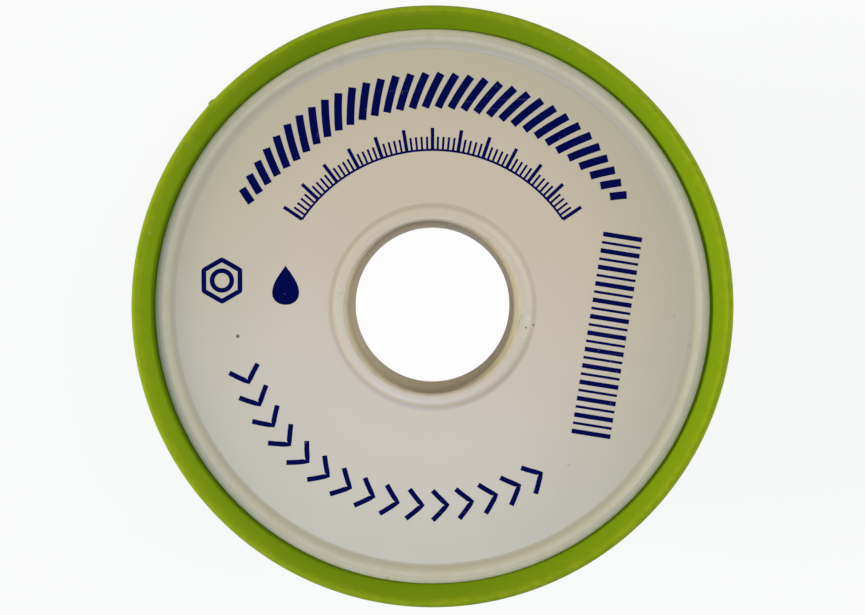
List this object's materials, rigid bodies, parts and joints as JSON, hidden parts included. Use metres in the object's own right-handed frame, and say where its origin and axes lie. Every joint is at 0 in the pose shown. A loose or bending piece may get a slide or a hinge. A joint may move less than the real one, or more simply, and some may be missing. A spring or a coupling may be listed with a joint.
{
  "type": "thread seal tape roll",
  "caption": "Round thread seal tape roll: a flanged spool with a central bore carries the wound tape and lifts out of a push-on, cup-shaped cover.",
  "frame": {"origin": "centre of the roll on the surface that it lies on, under the closed end of its cover", "axes": "+Z along the spool's bore, from the cover's closed end to its mouth; +Y towards the middle of the face's main arc of marks"},
  "size_m": [0.076, 0.076, 0.025],
  "materials": {
    "cover_plastic": "semi-gloss yellow-green moulded plastic",
    "spool_plastic": "satin ivory moulded plastic",
    "tape_film": "smooth matt white film",
    "print_ink": "navy printing ink"
  },
  "bodies": {
    "cover": {"cover": "cover_plastic"},
    "spool": {"spool": "spool_plastic"},
    "tape": {"tape_core": "tape_film", "tape_outer_turn": "tape_film"}
  },
  "joints": [
    {"name": "spool_lift", "type": "slide", "parent": "cover", "child": "spool", "axis": [0, 0, 1], "range_m": [0, 0.03]},
    {"name": "tape_turn", "type": "hinge", "parent": "spool", "child": "tape", "pos_m": [0, 0, 0.012], "axis": [0, 0, 1], "continuous": true}
  ]
}
